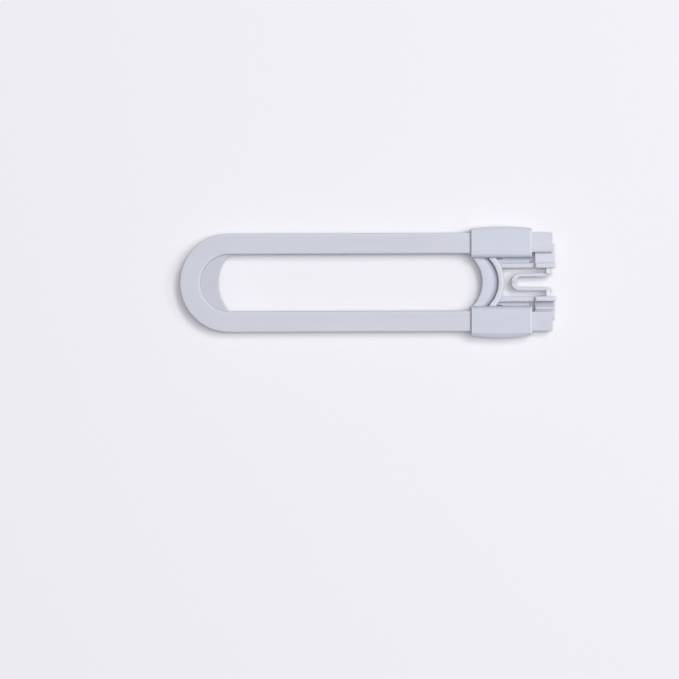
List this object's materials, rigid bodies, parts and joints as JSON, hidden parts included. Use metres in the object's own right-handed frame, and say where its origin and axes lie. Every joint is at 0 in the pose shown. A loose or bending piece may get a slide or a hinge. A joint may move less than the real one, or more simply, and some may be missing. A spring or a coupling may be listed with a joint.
{
  "type": "sliding cabinet safety lock",
  "caption": "U-shaped plastic bow with a ratchet slider, passed round two cabinet handles and released by squeezing two sprung tabs together.",
  "frame": {"origin": "under the middle of the lock's length and width, on the surface that the lock lies on, with the sleeves' flat backs at z = 0", "axes": "+X along the bow from its closed end to the open ends of its arms, +Y towards the upper arm, +Z out of the front face"},
  "size_m": [0.19, 0.0562, 0.0154],
  "materials": {
    "bow_plastic": "satin moulded polypropylene, pale lavender grey",
    "slider_plastic": "satin moulded polypropylene, pale lavender grey",
    "latch_plastic": "smooth moulded acetal, slightly whiter and glossier"
  },
  "bodies": {
    "bow": {"bow": "bow_plastic"},
    "slider": {"slider_housing": "slider_plastic", "latch_rim": "latch_plastic", "return_spring": "latch_plastic"},
    "upper_latch": {"upper_spring_arm": "latch_plastic", "upper_squeeze_tab": "latch_plastic"},
    "lower_latch": {"lower_spring_arm": "latch_plastic", "lower_squeeze_tab": "latch_plastic"}
  },
  "joints": [
    {"name": "slider_slide", "type": "slide", "parent": "bow", "child": "slider", "axis": [1, 0, 0], "range_m": [-0.12, 0.048]},
    {"name": "upper_squeeze", "type": "hinge", "parent": "slider", "child": "upper_latch", "pos_m": [0.06923, 0.00826, 0.00785], "axis": [0, 0, 1], "range_deg": [-5.5, 0], "stiffness_Nm_per_rad": 1, "deforming": ["return_spring"]},
    {"name": "lower_squeeze", "type": "hinge", "parent": "slider", "child": "lower_latch", "pos_m": [0.06923, -0.00826, 0.00785], "axis": [0, 0, 1], "range_deg": [0, 5.5], "stiffness_Nm_per_rad": 1, "deforming": ["return_spring"]}
  ]
}
